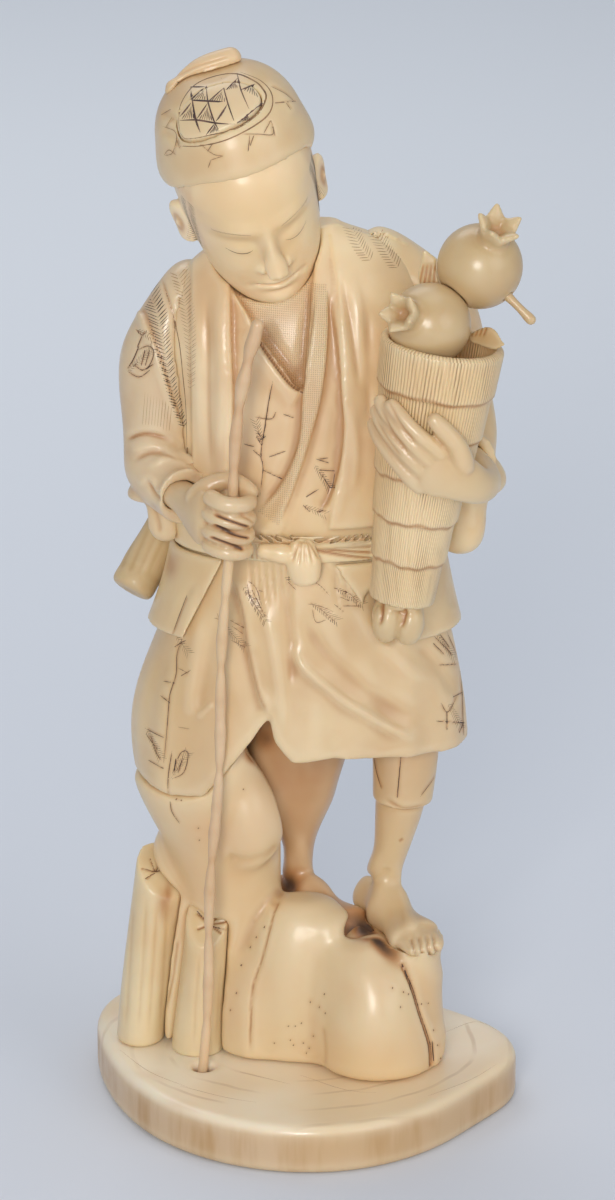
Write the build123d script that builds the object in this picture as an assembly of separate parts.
"""Okimono of a standing traveller with basket and staff, built as the sections it is carved in.

Millimetres, +Z up. The figure faces -Y. The origin is the centre of the underside of the base plate.
"Left" and "right" in the names of limbs are the figure's own.
"""
import os
from math import cos, exp, pi, sin, sqrt

from build123d import *

# Fits
GLUE_LINE = 0.15         # gap between two pieces that are glued together
PEG_PLAY = 0.1           # gap round a dowel
STAFF_PLAY = 0.8         # gap round the staff inside the fist

# Base plate
PLATE_LENGTH = 84.2
PLATE_DEPTH = 80.0
PLATE_THICK = 10.0
PLATE_TOP_ROUND = 2.0
PLATE_FOOT_ROUND = 1.4
# Outline of the slice of tusk, as shares of half the length and half the depth
PLATE_OUTLINE = ((1.0, 0.0), (0.92, 0.27), (0.7, 0.51), (0.4, 0.775), (0.07, 0.94), (-0.285, 1.0),
                 (-0.62, 0.94), (-0.86, 0.8), (-0.99, 0.57), (-1.0, 0.2), (-0.92, -0.16),
                 (-0.69, -0.63), (-0.273, -0.955), (0.178, -0.99), (0.575, -0.755), (0.838, -0.395))

# Dowels
PEG_RADIUS = 1.8
PEG_SINK = 4.0           # depth in each of the two pieces
PEG_PLACES = ((-14.0, 8.0), (18.0, 2.0))  # of the dowels in the base plate

# Heights above the base plate
LEDGE_HEIGHT = 24.0      # rock under the feet
ROOF_HEIGHT = 74.0       # underside of the robe, where the legs end
SASH_FOOT_HEIGHT = 106.0
WAIST_HEIGHT = 108.0
SASH_TOP_HEIGHT = 112.0

# Rock: outline on the plate (few points, smoothed), and its spread at each height above the plate
ROCK_OUTLINE = ((-26, 0), (-17, -4.5), (-10.7, -8.8), (-3.4, -8.6), (3.9, -13.0), (8.4, -17.2),
                (15.7, -19), (22, -16.6), (25.5, -10), (25.5, 2), (22, 14), (10, 21), (-8, 22),
                (-21, 18), (-27.5, 9))
ROCK_MIDDLE = (2, 2)
HUMP_HEIGHT = 33.0       # rounded top at the figure's right foot
LOBE_HEIGHT = 25.0       # round lump at the front
ROCK_SINK = 3.0          # lumps are drawn this far into the plate and cut level with its top
ROCK_LEVELS = ((-ROCK_SINK, 1.0), (6.0, 1.0), (12.0, 0.96), (17.5, 0.89), (22.0, 0.78), (25.0, 0.62))

# Robe: wall, folds and overlaps
SKIRT_WALL = 4.5
FOLD_DEPTH = 0.9
FOLD_WIDTH = 3.0
BACK_FOLDS = 6
FRONT_FOLDS = ((-29, -22), (-1, 9), (8, 14), (19, 19), (28, 23))  # across, at the hem and at the waist
OVERLAP_THICK = 0.7
PANEL_THICK = 0.9
NECKBAND_THICK = 0.5
NECK_OPENING_DEPTH = 2.2
SASH_THICK = 1.0
SASH_SEAT = PANEL_THICK + GLUE_LINE   # room for cloth under the sash
TAIL_THICK = 1.3
TAIL_FLARE = 0.6
TAIL_LENGTH = 16.5

# Rings of the robe: height above the plate, left, right, front and back edge, share of the fold depth
SKIRT_RINGS = (
    (52.0, -33.0, 31.0, -15.8, 22.0, 1.0),
    (64.0, -34.2, 31.2, -16.2, 23.0, 1.0),
    (74.0, -33.5, 30.5, -15.8, 23.0, 0.9),
    (86.0, -29.5, 28.4, -15.0, 22.5, 0.6),
    (98.0, -25.8, 26.0, -13.6, 21.0, 0.3),
    (WAIST_HEIGHT, -24.0, 24.5, -12.0, 19.0, 0.0),
)
# Rings of the upper robe: height above the waist, edges, rise of the shoulder line across the figure
TORSO_RINGS = (
    (0.0, -24.0, 24.5, -12.0, 19.0, 0.0),
    (4.5, -25.5, 26.0, -14.0, 20.0, 0.0),
    (15.0, -25.0, 25.5, -13.5, 20.0, 0.03),
    (30.0, -26.0, 24.5, -12.5, 19.5, 0.07),
    (42.0, -27.5, 23.0, -10.5, 18.5, 0.1),
    (50.0, -26.0, 20.5, -7.5, 16.5, 0.11),
    (56.0, -21.0, 14.0, -4.0, 14.0, 0.11),
    (60.0, -14.5, 6.0, -0.5, 11.0, 0.11),
)
# Hem seen from the front: across, height above the plate
HEM_FRONT = ((-33.0, 58.0), (-26.5, 56.5), (-20.0, 57.5), (-8.5, 72.7), (-2.8, 66.0), (5.0, 67.0),
             (18.0, 66.0), (31.5, 65.0))
OVERLAP_TOP_X = -13.0
# Edges of the jacket fronts and of the neck band: across, height above the waist
RIGHT_FRONT_EDGE = ((-16.3, 3), (-15.2, 12), (-14.5, 28), (-14.8, 40), (-15.2, 52), (-15.5, 62))
LEFT_FRONT_EDGE = ((4.1, 5), (6.4, 15), (7.1, 28), (6.9, 40), (6.0, 52), (3.7, 64))
BAND_INNER_EDGE = ((-9.4, 3.5), (-6, 8), (-3.2, 13), (-1.4, 19), (-0.7, 28), (0, 34), (1.8, 52),
                   (2, 62))
BAND_OUTER_EDGE = ((-5.5, 3), (-2.7, 10), (0.5, 20), (3, 31), (4.3, 44), (3.8, 55), (3.9, 62))

# Head
HEAD_AT = (-10.7, -3.5, 68.2)        # centre at eye level, from the waist
HEAD_BOW = 28.0
HEAD_LEAN = -16.5
HEAD_TURN = 8.0
HEAD_HEIGHT = 37.0
HEAD_WIDTH = 26.8
HEAD_DEPTH = 32.0
EAR_HEIGHT = 10.0
EAR_WIDTH = 6.0
EAR_THICK = 2.8
EAR_AT = (0.5, -2.0)                  # depth and rise, from the centre of the head
EAR_TURN = 38.0
NECK_RADIUS = 7.0
CAP_THICK = 1.1
CAP_RISE = 6.5
CAP_FULLNESS = 2.6      # 2 is a half ball, more is boxier
CAP_TILT = -20.0        # cap pushed back on the head
BRIM_RISE = 0.25        # share of the head height, above eye level
INSET_LENGTH = 16.4
INSET_WIDTH = 10.5
INSET_DEPTH = 2.5
INSET_PROUD = 0.35

# Head from chin to crown: rise, shift to the back, half width and half depth, as shares of its size
HEAD_ROWS = ((-0.5, -0.52, 0.26, 0.16), (-0.47, -0.44, 0.46, 0.32), (-0.38, -0.30, 0.68, 0.52),
             (-0.22, -0.12, 0.86, 0.75), (0.0, 0.0, 0.95, 0.94), (0.18, 0.06, 1.0, 1.0),
             (0.33, 0.08, 0.93, 0.92), (0.44, 0.1, 0.68, 0.68), (0.49, 0.1, 0.34, 0.34))

# Sleeves
SLEEVE_RADIUS = 7.5
CUFF_RADIUS = 5.4
SLEEVE_DROP = 12.0

# Staff and fist
STAFF_HOLE_X = -20.6
STAFF_HOLE_Y = -10.5
STAFF_HOLE_RADIUS = 2.15
STAFF_HOLE_DEPTH = 6.0
STAFF_RADIUS = 1.05
STAFF_ABOVE_FIST = 40.0
STAFF_WAVE = 0.35
STAFF_WAVE_LENGTH = 52.0
STAFF_BEND = 3.4
STAFF_STATIONS = 22
FIST_AT = (-14.6, -20.5, 8.0)        # centre of the grip, from the waist
FINGER_RADIUS = 1.6

# Basket and fruit
BASKET_FOOT_AT = (18.2, -16.5, -8.0)  # from the waist
BASKET_RIM_AT = (25.6, -18.0, 42.7)
BASKET_FOOT_RADIUS = 5.8
BASKET_RIM_RADIUS = 11.8
BASKET_TIERS = 6
TIER_FLARE = 0.5
MOUTH_WALL = 1.8
MOUTH_DEPTH = 7.0
ROOT_LENGTH = 8.5
LOWER_FRUIT_RADIUS = 7.8
UPPER_FRUIT_RADIUS = 8.1
LOWER_FRUIT_AT = (-2.5, -1.5, 4.2)    # from the centre of the rim
UPPER_FRUIT_AT = (7.0, 4.0, 14.0)
FRUIT_PEG_RADIUS = 1.0
LEAF_THICK = 1.0

# Back roll
ROLL_RADIUS = 4.4
ROLL_FOOT_AT = (-32.6, 10.6, -11.5)   # from the waist
ROLL_TOP_AT = (-18.0, 22.6, 11.0)

# Steps of the drawn forms
RING_POINTS = 60
DOME_SHARES = (0.0, 0.22, 0.44, 0.64, 0.8, 0.92, 0.985)  # heights of the ovals in a rounded top


def up(height):
    """Height above the base plate as a height in the frame."""
    return PLATE_THICK + height


def body(x, y, rise):
    """A place on the upper figure, given from the waist."""
    return Vector(x, y, up(WAIST_HEIGHT) + rise)


# Form helpers

def limb(stations, side=(1, 0, 0), dome_start=False, dome_end=True):
    """Round tapering form through ovals square to its path.

    A station is (place, half width, half height).
    """
    rows = [(Vector(*place), wide, high) for place, wide, high in stations]
    if dome_end:
        rows = rows + dome(rows[-2][0], rows[-1])
    if dome_start:
        rows = list(reversed(dome(rows[1][0], rows[0]))) + rows
    sections = []
    for i, (place, wide, high) in enumerate(rows):
        along = rows[min(i + 1, len(rows) - 1)][0] - rows[max(i - 1, 0)][0]
        sections.append(Plane(origin=place, x_dir=side, z_dir=along) * Ellipse(wide, high))
    return loft(sections)


def grown(stations, grow):
    """Stations of a limb with both half sizes made larger."""
    return [(place, wide + grow, high + grow) for place, wide, high in stations]


def dome(inner, last):
    """Closing stations that round off the end of a limb."""
    place, wide, high = last
    out = (place - inner).normalized()
    reach = min(wide, high)
    rows = []
    for share in (0.55, 0.85, 0.98):
        small = sqrt(1 - share * share)
        rows.append((place + out * reach * share, wide * small, high * small))
    return rows


def ball(place, rx, ry, rz):
    """Ellipsoid lying square to the frame."""
    half = Plane.XZ * (Circle(1) & Pos(0.5, 0) * Rectangle(1, 2))
    return Pos(*place) * scale(revolve(half, Axis.Z), by=(rx, ry, rz))


def boulder(x, y, half_x, half_y, height, fullness):
    """Round-topped lump standing in the base plate; fullness 2 is a half ball, more is boxier."""
    ovals = [Plane(origin=(x, y, up(-ROCK_SINK))) * Ellipse(half_x, half_y)]
    for share in DOME_SHARES:
        wide = (1 - share ** fullness) ** (1 / fullness)
        middle = Plane(origin=(x, y, up(height * share)))
        ovals.append(middle * Ellipse(half_x * wide, half_y * wide))
    return loft(ovals)


def oval_ring(height, left, right, front, back, slope=0.0):
    """Oval outline of a garment at one height; slope lifts it across the figure."""
    middle = Vector((left + right) / 2, (front + back) / 2, height)
    stretch = sqrt(1 + slope * slope)
    across = Plane(origin=middle, x_dir=(1, 0, slope), z_dir=(-slope, 0, 1))
    return across * Ellipse((right - left) / 2 * stretch, (back - front) / 2)


def fold_ring(height, left, right, front, back, share):
    """Oval outline with the folds of the cloth and the lap of the front panel in it."""
    mid_x, half_x = (left + right) / 2, (right - left) / 2
    mid_y, half_y = (front + back) / 2, (back - front) / 2
    fall = (up(WAIST_HEIGHT) - height) / (WAIST_HEIGHT - HEM_FRONT[0][1])
    lap_edge = OVERLAP_TOP_X + (HEM_FRONT[3][0] - OVERLAP_TOP_X) * min(1.0, fall * 1.4)
    points = []
    for i in range(RING_POINTS):
        turn = 2 * pi * i / RING_POINTS
        x = half_x * cos(turn)
        swell = 0.5 * FOLD_DEPTH * cos(BACK_FOLDS * turn)
        if sin(turn) < 0:
            swell = 0.0
            for at_hem, at_waist in FRONT_FOLDS:
                apart = (mid_x + x - at_waist - fall * (at_hem - at_waist)) / FOLD_WIDTH
                swell += FOLD_DEPTH * exp(-apart * apart)
            swell += OVERLAP_THICK / (1 + exp(-3 * (mid_x + x - lap_edge)))
        grow = swell * share
        points.append((mid_x + x + grow * cos(turn), mid_y + (half_y + grow) * sin(turn), height))
    return make_face(Spline(*points, periodic=True))


def between(rows, height):
    """Values of a table of rings at any height."""
    for low, high in zip(rows, rows[1:]):
        if height <= high[0]:
            break
    share = (height - low[0]) / (high[0] - low[0])
    return [a + share * (b - a) for a, b in zip(low, high)]


def front_prism(outline, y_from, y_to):
    """Front-view outline (across, height in the frame) run through the figure from front to back."""
    face = make_face(Polyline(*[(x, y_from, z) for x, z in outline], close=True))
    return extrude(face, amount=y_to - y_from, dir=(0, 1, 0))


# Robe

def skirt_form(levels):
    """Plain lower robe lofted through (height above the plate, growth) levels."""
    faces = []
    for height, grow in levels:
        _, left, right, front, back, _ = between(SKIRT_RINGS, height)
        faces.append(oval_ring(up(height), left - grow, right + grow, front - grow, back + grow))
    return loft(faces)


def torso_body(grow=0.0):
    """Upper robe from the waist to the neck."""
    faces = []
    for rise, left, right, front, back, slope in TORSO_RINGS:
        faces.append(oval_ring(up(WAIST_HEIGHT) + rise, left - grow, right + grow, front - grow,
                               back + grow, slope))
    return loft(faces)


def hem_prism(lowered=0.0):
    """Everything below the hem line."""
    floor = up(20.0)
    front = [(x, up(z) - lowered) for x, z in HEM_FRONT]
    sides = [(-60, front[0][1]), front[0]], [front[-1], (60, front[-1][1])]
    front_outline = sides[0] + front[1:-1] + sides[1] + [(60, floor), (-60, floor)]
    back_outline = sides[0] + sides[1] + [(60, floor), (-60, floor)]
    return front_prism(front_outline, -60, 2) + front_prism(back_outline, 2, 60)


def make_skirt():
    """Robe from waist to hem: folds and lapped front, hollow below, hem cut to its notch."""
    robe = loft([fold_ring(up(row[0]), *row[1:]) for row in SKIRT_RINGS])
    recess = skirt_form([(50, -SKIRT_WALL), (62, -SKIRT_WALL), (ROOF_HEIGHT, -SKIRT_WALL)])
    robe = robe - recess - hem_prism() - waist_peg(PEG_PLAY)
    return robe - basket_seat(GLUE_LINE) - root_seat(GLUE_LINE) - left_leg_form(GLUE_LINE)


def waist_peg(grow=0.0):
    return Pos(0, 4, up(WAIST_HEIGHT)) * Cylinder(PEG_RADIUS * 1.5 + grow, 2 * (PEG_SINK + grow))


def robe_panel(thick, outline):
    """Layer of cloth on the front of the upper robe; the outline is across, height above the waist."""
    return torso_body(thick) & front_prism([(x, up(WAIST_HEIGHT) + z) for x, z in outline], -60, 3)


def neck_opening():
    outline = [(-14.5, 51.0), (-10.8, 45.0), (-0.7, 32.0), (2.0, 60.0)]
    wedge = front_prism([(x, up(WAIST_HEIGHT) + z) for x, z in outline], -60, 3)
    return wedge - torso_body(-NECK_OPENING_DEPTH)


def make_torso():
    right_front = robe_panel(PANEL_THICK, [(-22, 3), *RIGHT_FRONT_EDGE, (-22, 62)])
    left_front = robe_panel(PANEL_THICK, [*LEFT_FRONT_EDGE, (30, 64), (30, 5)])
    band = robe_panel(NECKBAND_THICK, [*BAND_INNER_EDGE, *reversed(BAND_OUTER_EDGE)])
    robe = torso_body() - neck_opening() + right_front + left_front + band
    head_seat = neck_form(GLUE_LINE) + head_frame() * skull_form(GLUE_LINE)
    return robe - head_seat - basket_seat(GLUE_LINE) - waist_peg(PEG_PLAY)


def make_sash():
    """Cloth band over the joint of robe and upper robe."""
    band = sash_solid(0.0) - sash_bore() - torso_body(SASH_SEAT)
    return band - basket_seat(GLUE_LINE) - roll_form(GLUE_LINE)


def sash_rows():
    """Rings of robe and upper robe in the reach of the sash."""
    rows = [between(SKIRT_RINGS, SASH_FOOT_HEIGHT)[:5], list(SKIRT_RINGS[-1][:5])]
    top = between(TORSO_RINGS, SASH_TOP_HEIGHT - WAIST_HEIGHT)[:5]
    return rows + [[top[0] + WAIST_HEIGHT] + top[1:]]


def sash_bore():
    faces = []
    for (height, left, right, front, back), reach in zip(sash_rows(), (-0.2, 0.0, 0.2)):
        g = SASH_SEAT
        faces.append(oval_ring(up(height + reach), left - g, right + g, front - g, back + g))
    return loft(faces)


def sash_solid(grow):
    """Outside of the sash as a solid."""
    faces = []
    swells = ((-0.3, -grow), (0.3, 0.0), (-0.6, grow))
    for (height, left, right, front, back), (bulge, reach) in zip(sash_rows(), swells):
        g = SASH_SEAT + SASH_THICK + bulge + grow
        faces.append(oval_ring(up(height + reach), left - g, right + g, front - g, back + g))
    return loft(faces)


def make_sash_knot():
    """Hanging loop of the sash and its short end."""
    front = SKIRT_RINGS[-1][3] - SASH_SEAT - SASH_THICK
    loop = limb([(body(-0.9, front - 1.5, 1.6), 2.6, 2.0), (body(-0.6, front - 1.6, -1.2), 3.4, 2.4),
                 (body(-0.3, front - 1.6, -3.8), 3.0, 2.1)], dome_start=True)
    end = limb([(body(-8.2, front - 1.0, 0.9), 1.4, 1.5), (body(-5.6, front - 1.2, 0.6), 1.8, 1.9),
                (body(-2.8, front - 1.2, 0.2), 1.8, 1.8)], side=(0, 1, 0), dome_start=True)
    return loop + end - sash_solid(2 * GLUE_LINE) - torso_body(PANEL_THICK + GLUE_LINE)


def tail_levels(grow, rise=0.0):
    """Foot, middle and top of the flared lower jacket with the growth at each."""
    top = SASH_FOOT_HEIGHT - GLUE_LINE + rise
    flares = ((top - TAIL_LENGTH, TAIL_FLARE), (top - TAIL_LENGTH / 2, TAIL_FLARE / 2), (top, 0.0))
    return [(height, OVERLAP_THICK + GLUE_LINE + flare + grow) for height, flare in flares]


def make_tails():
    """Flared lower jacket, open in front."""
    low, middle, top = tail_levels(0.0)
    inner = skirt_form([(low[0] - 0.1, low[1]), middle, (top[0] + 0.1, top[1])])
    high, foot = up(top[0] + 1), up(low[0] - 1)
    outline = [(-15.5, high), (-24.5, foot), (17.5, foot), (4.5, high)]
    tails = skirt_form(tail_levels(TAIL_THICK)) - inner - front_prism(outline, -60, 2)
    return tails - basket_seat(GLUE_LINE) - root_seat(GLUE_LINE) - roll_form(GLUE_LINE)


# Sleeves and hands

def right_sleeve_form(grow=0.0):
    r, c = SLEEVE_RADIUS, CUFF_RADIUS
    arm = grown([
        (body(-20.5, 5.5, 46.5), r, r + 0.5),
        (body(-26, 4.8, 39), r, r + 0.5),
        (body(-28.6, 3, 25), r - 0.3, r),
        (body(-28.4, 0.5, 15), r - 1.0, r - 0.5),
        (body(-26, -5, 11.4), r - 1.5, r - 1.2),
        (body(-23.6, -10, 10.6), c, c),
    ], grow)
    fall = [
        (body(-28.0, -0.5, 13), 3.6, 3.6),
        (body(-28.0, -0.5, 7), 4.0, 3.4),
        (body(-27, -0.5, 13 - SLEEVE_DROP), 3.4, 2.6),
    ]
    return limb(arm, side=(0, 0, 1), dome_start=True, dome_end=False) + limb(fall)


def left_sleeve_form(grow=0.0):
    r, c = SLEEVE_RADIUS, CUFF_RADIUS
    arm = grown([
        (body(13.5, 5.5, 52), r, r + 0.5),
        (body(21.5, 6, 46.5), r, r + 0.5),
        (body(27.5, 6, 33), r, r),
        (body(30, 4, 21), r - 0.5, r - 0.8),
        (body(30.8, -2, 17), r - 1.5, r - 1.7),
        (body(31.4, -7.4, 16.6), c + 0.4, c - 0.2),
    ], grow)
    fall = [
        (body(30.6, -1.5, 17), 4.6, 4.4),
        (body(30.6, -0.5, 8), 5.2, 5.0),
        (body(29.8, 0.5, 12 - SLEEVE_DROP), 4.8, 4.4),
    ]
    return limb(arm, side=(0, 0, 1), dome_start=True, dome_end=False) + limb(fall)


def make_right_sleeve():
    sleeve = right_sleeve_form() - torso_body(PANEL_THICK + GLUE_LINE) - wrist_form(GLUE_LINE)
    sleeve = sleeve - roll_form(GLUE_LINE) - sash_solid(GLUE_LINE)
    return sleeve - skirt_form(tail_levels(TAIL_THICK + GLUE_LINE, 2 * GLUE_LINE))


def make_left_sleeve():
    sleeve = left_sleeve_form() - torso_body(PANEL_THICK + GLUE_LINE) - basket_seat(GLUE_LINE)
    sleeve = sleeve - left_palm_form(GLUE_LINE) - sash_solid(GLUE_LINE)
    return sleeve - skirt_form(tail_levels(TAIL_THICK + GLUE_LINE, 2 * GLUE_LINE))


def staff_foot():
    return Vector(STAFF_HOLE_X, STAFF_HOLE_Y, PLATE_THICK)


def staff_way():
    """Direction of the staff, from its hole in the plate to the grip of the fist."""
    return (body(*FIST_AT) - staff_foot()).normalized()


def grip():
    """Frame of the fist: local Z runs up the staff."""
    return Plane(origin=body(*FIST_AT), x_dir=(1, 0, 0), z_dir=staff_way())


def wrist_form(grow=0.0):
    """Palm and wrist of the right hand, from inside the cuff to the knuckles."""
    knuckles = body(*FIST_AT) + Vector(-4.6, 1.4, 0.4)
    stations = [
        (body(-26.5, -6.5, 10.9), 3.0, 3.2),
        (body(-23.8, -10.5, 10.4), 3.0, 3.3),
        (body(-21.2, -14.6, 9.4), 4.6, 3.2),
        (knuckles, 5.6, 2.7),
    ]
    return limb(grown(stations, grow), side=(0, 0, 1), dome_start=True)


def make_right_hand():
    """Fist closed round the staff: four fingers wrap it from the front, the thumb crosses behind."""
    reach = STAFF_RADIUS + STAFF_PLAY + FINGER_RADIUS
    hand = wrist_form()
    for level, thick in ((5.2, 1.0), (1.9, 1.03), (-1.5, 0.98), (-4.6, 0.88)):
        r = FINGER_RADIUS * thick
        path = []
        for turn, drop in ((196, 0.4), (232, 0.2), (270, 0.0), (312, -0.2), (352, -0.4), (28, -0.6)):
            wide = reach * (1.12 if turn == 196 else 1.0)
            place = (wide * cos(turn * pi / 180), wide * sin(turn * pi / 180), level + drop)
            path.append((place, r, r))
        hand = hand + grip().location * limb(path, side=(0, 0, 1), dome_start=True)
    thumb = [
        ((-6.5, 4.2, 3.5), 2.2, 2.2),
        ((-3.5, 4.4, 6.2), 1.9, 1.9),
        ((0.5, 3.8, 7.2), 1.7, 1.7),
        ((3.6, 1.6, 6.2), 1.6, 1.6),
    ]
    hand = hand + grip().location * limb(thumb, side=(0, 0, 1), dome_start=True)
    return hand - grip().location * Cylinder(STAFF_RADIUS + STAFF_PLAY, 40)


def basket_radius(along):
    """Radius of the plain basket at a length up its axis."""
    return BASKET_FOOT_RADIUS + (BASKET_RIM_RADIUS - BASKET_FOOT_RADIUS) * along / basket_length()


def on_basket(turn, along, out):
    """Place on the basket: degrees round from the figure's left towards the front,
    length up the axis, height off the straw.
    """
    radius = basket_radius(along) + out
    place = Vector(radius * cos(turn * pi / 180), -radius * sin(turn * pi / 180), along)
    return basket_frame().from_local_coords(place)


def left_palm_form(grow=0.0):
    stations = [
        (body(30.8, -5.5, 16.6), 3.2, 3.0),
        (on_basket(8, 25.5, 3.6), 3.2, 2.8),
        (on_basket(30, 26.5, 3.2), 3.6, 2.6),
        (on_basket(48, 28.0, 2.9), 4.2, 2.4),
        (on_basket(68, 29.5, 2.4), 4.9, 2.2),
        (on_basket(86, 30.5, 1.9), 5.0, 1.9),
    ]
    return limb(grown(stations, grow), side=(0, 0, 1), dome_start=True)


def make_left_hand():
    hand = left_palm_form()
    fingers = ((80, 33.4, 132, 40.6), (84, 31.0, 147, 40.4), (88, 28.6, 153, 38.0),
               (94, 26.4, 158, 35.0))
    for turn_a, along_a, turn_b, along_b in fingers:
        path = []
        for share in (0.0, 0.35, 0.7, 1.0):
            turn = turn_a + share * (turn_b - turn_a)
            along = along_a + share * (along_b - along_a)
            r = FINGER_RADIUS * (1.05 - 0.2 * share)
            path.append((on_basket(turn, along, r + 0.3), r, r))
        hand = hand + limb(path, side=(0, 0, 1), dome_start=True)
    thumb = [
        (on_basket(58, 31.5, 3.0), 2.2, 2.2),
        (on_basket(68, 35.5, 2.4), 2.0, 2.0),
        (on_basket(80, 38.0, 1.9), 1.8, 1.8),
        (on_basket(90, 39.8, 1.6), 1.5, 1.5),
    ]
    return hand + limb(thumb, side=(0, 0, 1), dome_start=True) - basket_seat(GLUE_LINE)


# Head and cap

def head_frame():
    """Frame of the head: local -Y is the way the face looks, local Z the crown."""
    return Pos(*body(*HEAD_AT)) * Rot(Z=HEAD_TURN) * Rot(Y=HEAD_LEAN) * Rot(X=HEAD_BOW)


def head_oval(rise, mid_y, half_x, half_y):
    return Plane(origin=(0, mid_y, rise)) * Ellipse(half_x, half_y)


def skull_form(grow=0.0):
    """Head from chin to crown in its own frame, by shares of height, width and depth."""
    h, w, d = HEAD_HEIGHT, HEAD_WIDTH / 2, HEAD_DEPTH / 2
    ovals = []
    for rise, middle, wide, deep in HEAD_ROWS:
        ovals.append(head_oval(h * rise, d * middle, w * wide + grow, d * deep + grow))
    return loft(ovals)


def neck_form(grow=0.0):
    r = NECK_RADIUS + grow
    places = (body(-6.0, 6, 40), body(-7.0, 4.5, 48), body(-8.5, 1.5, 57), body(-9.5, -1.5, 64))
    return limb([(place, r, r) for place in places], dome_end=False)


def make_head():
    nose = limb([((0, -14.2, 4.0), 1.1, 1.0), ((0, -15.1, 0.6), 1.3, 1.3), ((0, -16.0, -2.6), 1.8, 1.7),
                 ((0, -16.5, -5.2), 2.3, 1.9)])
    half = EAR_HEIGHT / 2 - EAR_THICK / 2
    ear = limb([((0, 0, half * rise), EAR_THICK / 2 * wide, EAR_WIDTH / 2 * wide)
                for rise, wide in ((-1, 0.7), (-0.4, 0.9), (0.3, 1.0), (1, 0.85))], dome_start=True)
    skull = skull_form() + nose
    for side in (-1, 1):
        ear_place = Pos(side * HEAD_WIDTH / 2, *EAR_AT) * Rot(X=-8) * Rot(Z=-side * EAR_TURN)
        skull = skull + ear_place * ear
    return head_frame() * skull + neck_form()


def cap_frame():
    return head_frame() * Rot(X=CAP_TILT)


def cap_form(grow=0.0):
    """Outside of the cap in its own frame: brim, swelling crown, top laid back."""
    h, w, d = HEAD_HEIGHT, HEAD_WIDTH / 2, HEAD_DEPTH / 2
    brim = h * BRIM_RISE
    top = h * 0.49 + CAP_RISE + grow
    ovals = []
    for share in DOME_SHARES:
        wide = (1 - share ** CAP_FULLNESS) ** (1 / CAP_FULLNESS)
        half_x, half_y = (w + CAP_THICK + grow) * wide, (d + CAP_THICK + grow) * wide
        ovals.append(head_oval(brim + (top - brim) * share, 1.5 + share, half_x, half_y))
    return loft(ovals)


def inset_pin(grow=0.0):
    """Oval pin through the crown that bounds the inset panel."""
    way = Plane(origin=(-1.5, -4.9, HEAD_HEIGHT * 0.4), x_dir=(1, 0, 0), z_dir=(-0.03, -0.42, 0.9))
    return extrude(way * Ellipse(INSET_LENGTH / 2 + grow, INSET_WIDTH / 2 + grow), amount=20)


def make_cap():
    cap = cap_form() - head_hollow() - (inset_pin(GLUE_LINE) - cap_form(-INSET_DEPTH - GLUE_LINE))
    return cap_frame() * cap


def head_hollow():
    """Room for the head, in the frame of the cap."""
    return Rot(X=-CAP_TILT) * skull_form(GLUE_LINE)


def make_cap_inset():
    panel = (cap_form(INSET_PROUD) - cap_form(-INSET_DEPTH)) & inset_pin()
    return cap_frame() * (panel - head_hollow())


def make_cap_knot():
    """Fold of cloth drawn together behind the crown."""
    stations = [
        ((-10.5, 5.0, 17.5), 2.6, 3.4),
        ((-7, 5.5, 21.0), 2.0, 3.0),
        ((-1.5, 6.0, 24.0), 2.4, 2.8),
        ((4.0, 5.5, 25.0), 2.2, 2.2),
    ]
    knot = limb(stations, side=(0, 1, 0), dome_start=True)
    return cap_frame() * (knot - cap_form(GLUE_LINE) - inset_pin(GLUE_LINE))


# Basket and fruit

def basket_length():
    return (body(*BASKET_RIM_AT) - body(*BASKET_FOOT_AT)).length


def basket_frame():
    return Plane(origin=body(*BASKET_FOOT_AT), x_dir=(1, 0, 0),
                 z_dir=body(*BASKET_RIM_AT) - body(*BASKET_FOOT_AT))


def basket_profile(grow):
    """Half outline of the basket: tiers of straw, each hanging a little over the one below."""
    length = basket_length()
    points = [(0, -grow)]
    for tier in range(BASKET_TIERS):
        low, high = length * tier / BASKET_TIERS, length * (tier + 1) / BASKET_TIERS
        for along, flare in ((low, TIER_FLARE), (high, 0.0)):
            points.append((basket_radius(along) + flare + grow, along - grow if along == 0 else along))
    points.append((points[-1][0] - 0.6, length + 0.6 + grow))
    points.append((0, length + 0.6 + grow))
    return points


def basket_body(grow=0.0):
    outline = make_face(Polyline(*[(r, 0, z) for r, z in basket_profile(grow)], close=True))
    return basket_frame().location * revolve(outline, Axis.Z)


def basket_seat(grow=0.0):
    """Plain cone that holds the basket, to cut its seat into other pieces."""
    length = basket_length() + 2 * grow + 0.6
    low, high = BASKET_FOOT_RADIUS + TIER_FLARE + grow, BASKET_RIM_RADIUS + TIER_FLARE + grow
    return basket_frame().location * Pos(0, 0, length / 2 - grow) * Cone(low, high, length)


def root_seat(grow=0.0):
    """Plain form that holds the straw ends below the basket."""
    r = BASKET_FOOT_RADIUS + grow
    rows = ((0.0, 1.1), (-0.5, 1.16), (-0.9, 1.0))
    ends = limb([((0, 0, ROOT_LENGTH * drop), wide * r, wide * r) for drop, wide in rows])
    return basket_frame().location * ends


def basket_mouth():
    wide = BASKET_RIM_RADIUS - MOUTH_WALL
    middle = Pos(0, 0, basket_length() - MOUTH_DEPTH / 2 + 1)
    return basket_frame().location * middle * Cylinder(wide, MOUTH_DEPTH + 2)


def make_basket():
    return basket_body() - basket_mouth() - lower_fruit_ball(GLUE_LINE) - basket_peg_hole()


def basket_peg_hole():
    return basket_frame().location * Cylinder(PEG_RADIUS + PEG_PLAY, 2 * PEG_SINK)


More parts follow.
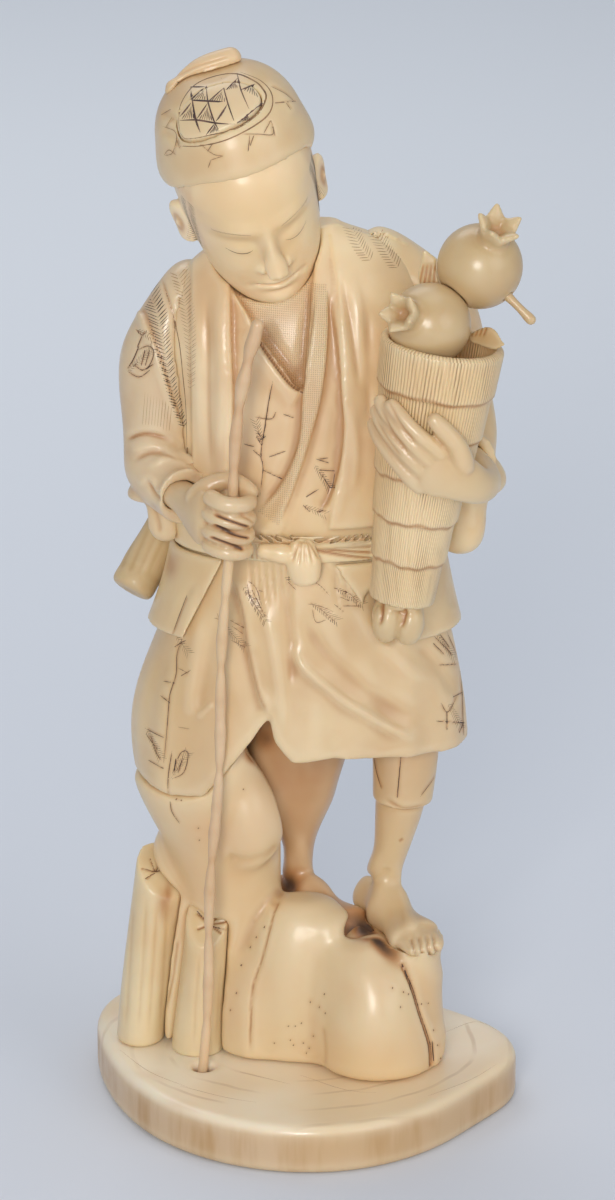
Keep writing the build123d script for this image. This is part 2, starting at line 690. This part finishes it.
def basket_root_form(grow=0.0):
    """Bundled straw ends below the basket: four bulging tufts and a middle pin."""
    r = BASKET_FOOT_RADIUS
    half = ROOT_LENGTH / 2
    tufts = Pos(0, 0, -grow - GLUE_LINE - 0.5) * Cylinder(r * 0.8 + grow, 1.0)
    for i in range(4):
        turn = (i * 90 + 45) * pi / 180
        place = (0.52 * r * cos(turn), 0.52 * r * sin(turn), -GLUE_LINE - half)
        tufts = tufts + ball(place, 0.5 * r + grow, 0.5 * r + grow, half + grow)
    return basket_frame().location * tufts


def make_basket_roots():
    pin = basket_frame().location * Cylinder(PEG_RADIUS, 2 * (PEG_SINK - PEG_PLAY))
    return basket_root_form() + pin


def rim_place(offset):
    return body(*BASKET_RIM_AT) + Vector(*offset)


def lower_fruit_ball(grow=0.0):
    return Pos(*rim_place(LOWER_FRUIT_AT)) * Sphere(LOWER_FRUIT_RADIUS + grow)


def fruit_crown(radius, spread):
    """Calyx of a pomegranate on a fruit of the given radius: a short neck and five pointed petals."""
    r = radius
    crown = Pos(0, 0, r) * Cone(r * 0.4, r * 0.32, r * 0.3)
    for i in range(5):
        petal = limb([
            ((0, 0.18 * r, 0.95 * r), 0.22 * r, 0.12 * r),
            ((0, 0.26 * r + 0.1 * spread, 1.2 * r), 0.28 * r, 0.12 * r),
            ((0, 0.32 * r + 0.5 * spread, 1.4 * r), 0.17 * r, 0.09 * r),
            ((0, 0.36 * r + spread, 1.55 * r), 0.05 * r, 0.05 * r),
        ], dome_end=False)
        crown = crown + Rot(Z=72 * i) * petal
    return crown


def fruit(place, radius, crown_way, spread):
    whole = Sphere(radius) + fruit_crown(radius, spread)
    return Plane(origin=place, x_dir=(1, 0, 0.3), z_dir=crown_way).location * whole


def fruit_peg(grow=0.0):
    low, high = rim_place(LOWER_FRUIT_AT), rim_place(UPPER_FRUIT_AT)
    way = (high - low).normalized()
    middle = low + way * LOWER_FRUIT_RADIUS
    pin = Cylinder(FRUIT_PEG_RADIUS + grow, 2 * (PEG_SINK + grow))
    return Plane(origin=middle, z_dir=way).location * pin


def make_lower_pomegranate():
    whole = fruit(rim_place(LOWER_FRUIT_AT), LOWER_FRUIT_RADIUS, (-0.55, -0.75, 0.4), 1.0)
    return whole - fruit_peg(PEG_PLAY)


def make_upper_pomegranate():
    whole = fruit(rim_place(UPPER_FRUIT_AT), UPPER_FRUIT_RADIUS, (0.3, -0.5, 0.82), 1.6)
    return whole - stem_form(GLUE_LINE) - fruit_peg(PEG_PLAY) - lower_fruit_ball(GLUE_LINE)


def stem_form(grow=0.0):
    """Cut stem of the upper fruit, pointing down beside the basket."""
    start = rim_place(UPPER_FRUIT_AT) + Vector(0.62, -0.35, -0.62) * (UPPER_FRUIT_RADIUS * 0.9)
    stations = [
        (start, 1.0, 1.0),
        (start + Vector(2.6, -1.0, -2.4), 0.8, 0.8),
        (start + Vector(5.0, -1.6, -4.8), 1.0, 1.0),
    ]
    return limb(grown(stations, grow), dome_start=True)


def leaf(base, tip, width, side):
    """Pointed blade from base to tip."""
    base, tip = Vector(*base), Vector(*tip)
    half = LEAF_THICK / 2
    stations = []
    for share, wide in ((0.0, 0.25), (0.3, 0.85), (0.55, 1.0), (0.8, 0.6), (1.0, 0.12)):
        stations.append((base + (tip - base) * share, width * wide, half * max(wide, 0.5)))
    return limb(stations, side=side, dome_end=False)


def make_leaves():
    near = leaf(rim_place((1.0, 3.0, 5.5)), rim_place((-3.5, 4.0, 17.0)), 3.2, (1, 0, 0.4))
    far = leaf(rim_place((5.0, 1.5, 1.0)), rim_place((11.5, -2.5, 0.5)), 2.6, (0, 0.4, 1))
    both = near + far
    for blocker in (lower_fruit_ball(GLUE_LINE), upper_fruit_ball(GLUE_LINE), basket_seat(GLUE_LINE),
                    stem_form(GLUE_LINE)):
        both = both - blocker
    return both


def upper_fruit_ball(grow):
    return Pos(*rim_place(UPPER_FRUIT_AT)) * Sphere(UPPER_FRUIT_RADIUS + grow)


# Roll behind the hip and staff

def roll_form(grow=0.0):
    foot, top = body(*ROLL_FOOT_AT), body(*ROLL_TOP_AT)
    r = ROLL_RADIUS + grow
    middle = foot + (top - foot) * 0.5
    return limb([(foot, r, r), (middle, r * 0.96, r * 0.96), (top, r * 0.9, r * 0.9)], dome_start=True)


def make_back_roll():
    robe = skirt_form([(row[0], FOLD_DEPTH + GLUE_LINE) for row in SKIRT_RINGS])
    return roll_form() - torso_body(PANEL_THICK + GLUE_LINE) - robe


def make_staff():
    """Crooked stick: nearly straight up to the hand, bent to one side above it."""
    way, foot = staff_way(), staff_foot()
    grip_along = (body(*FIST_AT) - foot).length
    low, high = 0.3 - STAFF_HOLE_DEPTH, grip_along + STAFF_ABOVE_FIST
    stations = []
    for i in range(STAFF_STATIONS):
        along = low + (high - low) * i / (STAFF_STATIONS - 1)
        above = max(0.0, along - grip_along) / STAFF_ABOVE_FIST
        bend = STAFF_WAVE * sin(2 * pi * along / STAFF_WAVE_LENGTH) + STAFF_BEND * above ** 2.2
        r = STAFF_RADIUS * (0.95 + 0.25 * above)
        stations.append((foot + way * along + Vector(bend, 0, 0), r, r))
    return limb(stations, dome_end=False) + Pos(*stations[-1][0]) * Sphere(r)


# Base, rock and legs

def make_base_plate():
    rim = [(x * PLATE_LENGTH / 2, y * PLATE_DEPTH / 2, 0) for x, y in PLATE_OUTLINE]
    plate = extrude(make_face(Spline(*rim, periodic=True)), amount=PLATE_THICK, dir=(0, 0, 1))
    plate = fillet(plate.edges().group_by(Axis.Z)[-1], PLATE_TOP_ROUND)
    plate = fillet(plate.edges().group_by(Axis.Z)[0], PLATE_FOOT_ROUND)
    hole_place = Pos(STAFF_HOLE_X, STAFF_HOLE_Y, PLATE_THICK - STAFF_HOLE_DEPTH / 2)
    return plate - hole_place * Cylinder(STAFF_HOLE_RADIUS, STAFF_HOLE_DEPTH) - base_pegs(PEG_PLAY)


def base_pegs(grow=0.0):
    peg = Cylinder(PEG_RADIUS + grow, 2 * (PEG_SINK + grow))
    return Pos(*PEG_PLACES[0], PLATE_THICK) * peg + Pos(*PEG_PLACES[1], PLATE_THICK) * peg


def on_plate(form):
    """Cut a form level with the top of the base plate."""
    return split(form, bisect_by=Plane(origin=(0, 0, PLATE_THICK)), keep=Keep.TOP)


def tall_stump_post(grow=0.0):
    """Cut trunk at the outer left, sawn off at a slant."""
    stations = [
        ((-33.6, 4.5, up(-ROCK_SINK)), 4.9, 6.2),
        ((-32.4, 4.2, up(12)), 4.8, 5.6),
        ((-30.2, 4, up(28)), 5.0, 5.4),
        ((-28.2, 4, up(44)), 5.0, 5.6),
    ]
    slant = Plane(origin=(-28.6, 4, up(36) + grow), z_dir=(0.45, -0.5, 0.74))
    return split(limb(grown(stations, grow), dome_end=False), bisect_by=slant, keep=Keep.BOTTOM)


def short_stump_post(grow=0.0):
    """Lower stump in front of it, its sawn face turned to the front."""
    stations = [
        ((-21.9, -0.6, up(-ROCK_SINK)), 5.6, 5.9),
        ((-21.2, -0.8, up(10)), 4.7, 5.2),
        ((-20.2, -1.2, up(22)), 4.3, 5.0),
        ((-19.6, -1.4, up(34)), 4.3, 5.0),
    ]
    slant = Plane(origin=(-19.8, -1.4, up(28.5) + grow), z_dir=(-0.1, -0.7, 0.7))
    return split(limb(grown(stations, grow), dome_end=False), bisect_by=slant, keep=Keep.BOTTOM)


def under_robe(leg, grow):
    """Cut a leg level under the roof of the robe."""
    return split(leg, bisect_by=Plane(origin=(0, 0, up(ROOF_HEIGHT) - GLUE_LINE + grow)),
                 keep=Keep.BOTTOM)


def right_leg_form(grow=0.0):
    """Bare leg and foot at the viewer's left."""
    ledge = up(LEDGE_HEIGHT)
    leg = [
        ((-1.0, 5.6, up(ROOF_HEIGHT + 4)), 9.6, 8.6),
        ((-1.2, 7.5, up(62)), 8.0, 7.4),
        ((-1.8, 9.8, up(50)), 5.2, 5.2),
        ((-1.6, 12, ledge + 14), 3.1, 3.4),
        ((-2, 13.2, ledge + 7.5), 3.2, 3.6),
    ]
    foot = [
        ((-4.2, 15.2, ledge + 3.6), 3.2, 3.4),
        ((-0.6, 10.8, ledge + 4.2), 3.5, 4.0),
        ((4.6, 4.4, ledge + 2.8), 4.1, 3.0),
        ((8.4, -0.6, ledge + 1.9), 4.4, 2.1),
        ((10.6, -3.4, ledge + 1.4), 3.8, 1.5),
    ]
    whole = limb(grown(leg, grow), dome_end=False) + limb(grown(foot, grow), dome_start=True)
    return under_robe(whole, grow)


def left_leg_form(grow=0.0):
    """Leg with a legging down to the calf, and foot, at the viewer's right."""
    ledge = up(LEDGE_HEIGHT)
    leg = [
        ((19.5, 1, up(ROOF_HEIGHT + 4)), 6.4, 6.4),
        ((19.3, 1.2, up(58)), 5.2, 5.4),
        ((18.2, 3, up(49)), 4.6, 4.8),
        ((16.6, 5.4, ledge + 15), 3.3, 3.7),
        ((15.4, 7, ledge + 9), 3.3, 3.9),
    ]
    legging = [
        ((19.5, 1, up(ROOF_HEIGHT + 4)), 7.0, 7.0),
        ((19.5, 1, up(62)), 6.5, 6.5),
        ((19.0, 1.6, up(52.5)), 5.9, 6.0),
    ]
    foot = [
        ((12.2, 10.4, ledge + 4.2), 3.2, 3.6),
        ((15.0, 5.6, ledge + 4.6), 3.6, 4.2),
        ((18.8, -1.6, ledge + 3.0), 4.2, 3.1),
        ((22.0, -7.4, ledge + 2.0), 4.7, 2.2),
        ((23.6, -10.4, ledge + 1.5), 4.2, 1.6),
    ]
    shank = limb(grown(leg, grow), dome_end=False) + limb(grown(legging, grow), dome_end=False)
    return under_robe(shank + limb(grown(foot, grow), dome_start=True), grow)


def rock_level(height, spread):
    """Outline of the rock at one height: a bay behind the staff, a lobe at the front right."""
    points = []
    for x, y in ROCK_OUTLINE:
        points.append((ROCK_MIDDLE[0] + (x - ROCK_MIDDLE[0]) * spread,
                       ROCK_MIDDLE[1] + (y - ROCK_MIDDLE[1]) * spread, up(height)))
    return make_face(Spline(*points, periodic=True))


def make_right_leg():
    return right_leg_form() - left_leg_form(GLUE_LINE)


def make_rock():
    """Rock and tree trunk: lumps grown together, flat below, seated under the hem, feet and stumps."""
    mass = loft([rock_level(height, spread) for height, spread in ROCK_LEVELS])
    trunk = limb([
        ((-16, 7.5, up(-ROCK_SINK)), 11, 10),
        ((-16, 7.2, up(20)), 11, 10),
        ((-16, 5, up(40)), 11, 10.5),
        ((-18.5, 3.5, up(52)), 13.5, 12.5),
        ((-19.5, 3, up(68)), 14.5, 13.5),
    ], dome_end=False)
    root = boulder(-24.5, 6.5, 8.0, 6.5, 46.0, 4.0)
    hump = boulder(-0.5, -0.5, 13.5, 10.0, HUMP_HEIGHT, 2.8)
    lobe = boulder(13.6, -9.0, 11.0, 10.4, LOBE_HEIGHT, 2.4)
    pedestal = limb([
        ((22.8, -6.5, up(-ROCK_SINK)), 5.6, 9.0),
        ((21.6, -4.5, up(12)), 4.4, 8.0),
        ((22.0, -4.5, up(LEDGE_HEIGHT + 2)), 5.6, 9.0),
    ], dome_end=False)
    burl = ball((-12.0, -3.0, up(50)), 8.0, 7.0, 11)
    lump = mass + trunk + root + hump + lobe + pedestal + burl
    above_hem = Pos(0, 0, up(75)) * Box(200, 200, 110) - hem_prism(GLUE_LINE)
    lump = on_plate(lump) - above_hem
    for seat in (tall_stump_post(GLUE_LINE), short_stump_post(GLUE_LINE), right_leg_form(GLUE_LINE),
                 left_leg_form(GLUE_LINE), base_pegs(PEG_PLAY)):
        lump = lump - seat
    return lump


def make_tall_stump():
    return on_plate(tall_stump_post())


def make_short_stump():
    return on_plate(short_stump_post() - tall_stump_post(GLUE_LINE))


PIECES = {
    "base_plate": make_base_plate, "base_pegs": base_pegs, "rock": make_rock,
    "tall_stump": make_tall_stump, "short_stump": make_short_stump,
    "right_leg": make_right_leg, "left_leg": left_leg_form,
    "skirt": make_skirt, "torso": make_torso, "waist_peg": waist_peg, "jacket_tails": make_tails,
    "sash": make_sash, "sash_knot": make_sash_knot,
    "right_sleeve": make_right_sleeve, "left_sleeve": make_left_sleeve,
    "right_hand": make_right_hand, "left_hand": make_left_hand,
    "head": make_head, "cap": make_cap, "cap_inset": make_cap_inset, "cap_knot": make_cap_knot,
    "basket": make_basket, "basket_roots": make_basket_roots,
    "lower_pomegranate": make_lower_pomegranate, "upper_pomegranate": make_upper_pomegranate,
    "fruit_peg": fruit_peg, "leaves": make_leaves, "fruit_stem": stem_form,
    "back_roll": make_back_roll, "staff": make_staff,
}

os.makedirs("parts", exist_ok=True)
for node, make in PIECES.items():
    export_step(make(), f"parts/{node}.step")
